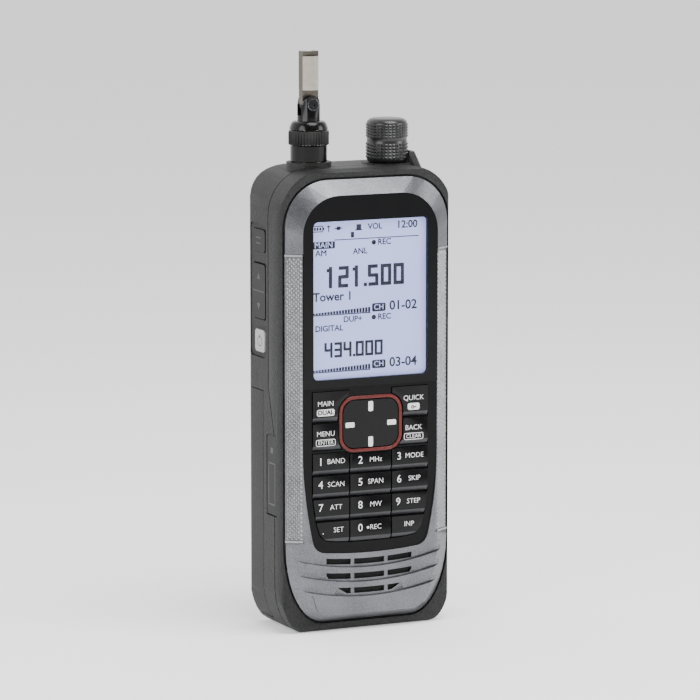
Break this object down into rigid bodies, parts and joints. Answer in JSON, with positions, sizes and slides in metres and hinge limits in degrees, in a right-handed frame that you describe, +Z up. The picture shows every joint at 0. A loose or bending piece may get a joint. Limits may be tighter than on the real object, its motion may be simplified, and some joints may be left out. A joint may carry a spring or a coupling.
{
  "type": "handheld aviation radio",
  "caption": "Slim handheld airband radio receiver with a display, keypad, direction pad, top dial, tilting bayonet antenna and rear battery pack.",
  "frame": {"origin": "centre of the case's footprint, on the surface it stands on", "axes": "+Z up along the case, -Y out of the keypad face, +X to the right seen from the front"},
  "size_m": [0.0578, 0.0306, 0.1785],
  "materials": {
    "case_plastic": "fine moulded texture",
    "frame_paint": "satin silver-grey",
    "lens_acrylic": "high gloss",
    "lcd_glass": "smooth",
    "diffuser": "milky",
    "key_plastic": "gloss",
    "mat_rubber": "matt",
    "ring_plastic": "satin red",
    "circuit_board": "solder mask",
    "shield_tin": "tin plate",
    "chassis_alloy": "cast",
    "speaker_steel": "plated",
    "cone_paper": "pressed paper",
    "mesh_cloth": "woven",
    "nickel_brass": "nickel plated",
    "black_chrome": "black plated",
    "whip_chrome": "bright nickel",
    "switch_steel": "plated",
    "jack_plastic": "moulded",
    "cell_wrap": "film wrap",
    "dial_plastic": "matt",
    "power_plastic": "satin"
  },
  "bodies": {
    "radio": {"front_case": "case_plastic", "rear_case": "case_plastic", "front_frame": "frame_paint", "display_lens": "lens_acrylic", "lens_mask": "lens_acrylic", "lcd_panel": "lcd_glass", "lcd_backlight": "diffuser", "keypad_bezel": "key_plastic", "keypad_mat": "mat_rubber", "pad_ring": "ring_plastic", "main_board": "circuit_board", "rf_board": "circuit_board", "rf_shields": "shield_tin", "chassis": "chassis_alloy", "speaker_basket": "speaker_steel", "speaker_cone": "cone_paper", "speaker_mesh": "mesh_cloth", "bnc_jack": "nickel_brass", "encoder_body": "switch_steel", "case_screws": "switch_steel", "earphone_jack": "jack_plastic", "usb_socket": "shield_tin", "card_socket": "shield_tin", "battery_contacts": "nickel_brass"},
    "battery": {"battery_case": "case_plastic", "battery_cells": "cell_wrap"},
    "latch": {"battery_latch": "case_plastic"},
    "dial": {"dial_knob": "dial_plastic", "dial_shaft": "switch_steel"},
    "coupling": {"bnc_coupling": "black_chrome"},
    "antenna": {"bnc_plug": "nickel_brass", "antenna_post": "black_chrome", "pivot_screw": "black_chrome"},
    "whip": {"whip_link": "whip_chrome"},
    "whip_middle": {"whip_sleeve": "whip_chrome"},
    "whip_end": {"whip_tip": "whip_chrome"},
    "pad_rocker": {"pad_pivot": "shield_tin"},
    "pad_cap": {"pad": "key_plastic"},
    "key_1_cap": {"key_1": "key_plastic"},
    "key_2_cap": {"key_2": "key_plastic"},
    "key_3_cap": {"key_3": "key_plastic"},
    "key_4_cap": {"key_4": "key_plastic"},
    "key_5_cap": {"key_5": "key_plastic"},
    "key_6_cap": {"key_6": "key_plastic"},
    "key_7_cap": {"key_7": "key_plastic"},
    "key_8_cap": {"key_8": "key_plastic"},
    "key_9_cap": {"key_9": "key_plastic"},
    "key_dot_cap": {"key_dot": "key_plastic"},
    "key_0_cap": {"key_0": "key_plastic"},
    "key_input_cap": {"key_input": "key_plastic"},
    "key_main_cap": {"key_main": "key_plastic"},
    "key_menu_cap": {"key_menu": "key_plastic"},
    "key_quick_cap": {"key_quick": "key_plastic"},
    "key_clear_cap": {"key_clear": "key_plastic"},
    "side_button": {"side_key": "mat_rubber"},
    "rocker": {"side_rocker": "mat_rubber"},
    "power_button": {"power_key": "power_plastic"},
    "jack_cover": {"port_cover": "mat_rubber"}
  },
  "joints": [
    {"name": "battery_lift", "type": "slide", "parent": "radio", "child": "battery", "axis": [0, 1, 0], "range_m": [0, 0.04]},
    {"name": "latch_slide", "type": "slide", "parent": "battery", "child": "latch", "axis": [0, 0, 1], "range_m": [0, 0.002], "stiffness_N_per_m": 250, "springref_m": -0.001},
    {"name": "dial_turn", "type": "hinge", "parent": "radio", "child": "dial", "pos_m": [0.013, 0.001, 0.15], "axis": [0, 0, 1], "continuous": true},
    {"name": "bayonet_turn", "type": "hinge", "parent": "radio", "child": "coupling", "pos_m": [-0.0135, 0.001, 0.15], "axis": [0, 0, 1], "range_deg": [0, 90]},
    {"name": "antenna_swivel", "type": "hinge", "parent": "radio", "child": "antenna", "pos_m": [-0.0135, 0.001, 0.155], "axis": [0, 0, 1], "continuous": true},
    {"name": "whip_tilt", "type": "hinge", "parent": "antenna", "child": "whip", "pos_m": [-0.0135, 0.001, 0.16215], "axis": [0, 1, 0], "range_deg": [-90, 90]},
    {"name": "whip_draw_1", "type": "slide", "parent": "whip", "child": "whip_middle", "axis": [0, 0, 1], "range_m": [0, 0.008]},
    {"name": "whip_draw_2", "type": "slide", "parent": "whip_middle", "child": "whip_end", "axis": [0, 0, 1], "range_m": [0, 0.008]},
    {"name": "pad_up_down", "type": "hinge", "parent": "radio", "child": "pad_rocker", "pos_m": [0, -0.01273, 0.06465], "axis": [1, 0, 0], "range_deg": [-1.5, 1.5], "stiffness_Nm_per_rad": 0.05},
    {"name": "pad_left_right", "type": "hinge", "parent": "pad_rocker", "child": "pad_cap", "pos_m": [0, -0.01273, 0.06465], "axis": [0, 0, 1], "range_deg": [-1.5, 1.5], "stiffness_Nm_per_rad": 0.05},
    {"name": "key_1_press", "type": "slide", "parent": "radio", "child": "key_1_cap", "axis": [0, 1, 0], "range_m": [0, 0.0005], "stiffness_N_per_m": 400, "springref_m": -0.0003},
    {"name": "key_2_press", "type": "slide", "parent": "radio", "child": "key_2_cap", "axis": [0, 1, 0], "range_m": [0, 0.0005], "stiffness_N_per_m": 400, "springref_m": -0.0003},
    {"name": "key_3_press", "type": "slide", "parent": "radio", "child": "key_3_cap", "axis": [0, 1, 0], "range_m": [0, 0.0005], "stiffness_N_per_m": 400, "springref_m": -0.0003},
    {"name": "key_4_press", "type": "slide", "parent": "radio", "child": "key_4_cap", "axis": [0, 1, 0], "range_m": [0, 0.0005], "stiffness_N_per_m": 400, "springref_m": -0.0003},
    {"name": "key_5_press", "type": "slide", "parent": "radio", "child": "key_5_cap", "axis": [0, 1, 0], "range_m": [0, 0.0005], "stiffness_N_per_m": 400, "springref_m": -0.0003},
    {"name": "key_6_press", "type": "slide", "parent": "radio", "child": "key_6_cap", "axis": [0, 1, 0], "range_m": [0, 0.0005], "stiffness_N_per_m": 400, "springref_m": -0.0003},
    {"name": "key_7_press", "type": "slide", "parent": "radio", "child": "key_7_cap", "axis": [0, 1, 0], "range_m": [0, 0.0005], "stiffness_N_per_m": 400, "springref_m": -0.0003},
    {"name": "key_8_press", "type": "slide", "parent": "radio", "child": "key_8_cap", "axis": [0, 1, 0], "range_m": [0, 0.0005], "stiffness_N_per_m": 400, "springref_m": -0.0003},
    {"name": "key_9_press", "type": "slide", "parent": "radio", "child": "key_9_cap", "axis": [0, 1, 0], "range_m": [0, 0.0005], "stiffness_N_per_m": 400, "springref_m": -0.0003},
    {"name": "key_dot_press", "type": "slide", "parent": "radio", "child": "key_dot_cap", "axis": [0, 1, 0], "range_m": [0, 0.0005], "stiffness_N_per_m": 400, "springref_m": -0.0003},
    {"name": "key_0_press", "type": "slide", "parent": "radio", "child": "key_0_cap", "axis": [0, 1, 0], "range_m": [0, 0.0005], "stiffness_N_per_m": 400, "springref_m": -0.0003},
    {"name": "key_input_press", "type": "slide", "parent": "radio", "child": "key_input_cap", "axis": [0, 1, 0], "range_m": [0, 0.0005], "stiffness_N_per_m": 400, "springref_m": -0.0003},
    {"name": "key_main_press", "type": "slide", "parent": "radio", "child": "key_main_cap", "axis": [0, 1, 0], "range_m": [0, 0.0005], "stiffness_N_per_m": 400, "springref_m": -0.0003},
    {"name": "key_menu_press", "type": "slide", "parent": "radio", "child": "key_menu_cap", "axis": [0, 1, 0], "range_m": [0, 0.0005], "stiffness_N_per_m": 400, "springref_m": -0.0003},
    {"name": "key_quick_press", "type": "slide", "parent": "radio", "child": "key_quick_cap", "axis": [0, 1, 0], "range_m": [0, 0.0005], "stiffness_N_per_m": 400, "springref_m": -0.0003},
    {"name": "key_clear_press", "type": "slide", "parent": "radio", "child": "key_clear_cap", "axis": [0, 1, 0], "range_m": [0, 0.0005], "stiffness_N_per_m": 400, "springref_m": -0.0003},
    {"name": "side_key_press", "type": "slide", "parent": "radio", "child": "side_button", "axis": [1, 0, 0], "range_m": [0, 0.0005], "stiffness_N_per_m": 400, "springref_m": -0.0003},
    {"name": "power_key_press", "type": "slide", "parent": "radio", "child": "power_button", "axis": [1, 0, 0], "range_m": [0, 0.0005], "stiffness_N_per_m": 400, "springref_m": -0.0003},
    {"name": "rocker_tilt", "type": "hinge", "parent": "radio", "child": "rocker", "pos_m": [-0.0261, 0.0046, 0.10485], "axis": [0, 1, 0], "range_deg": [-2, 2], "stiffness_Nm_per_rad": 0.05},
    {"name": "port_cover_swing", "type": "hinge", "parent": "radio", "child": "jack_cover", "pos_m": [-0.0283, -0.0051, 0.0369], "axis": [0, -1, 0], "range_deg": [0, 95]}
  ]
}
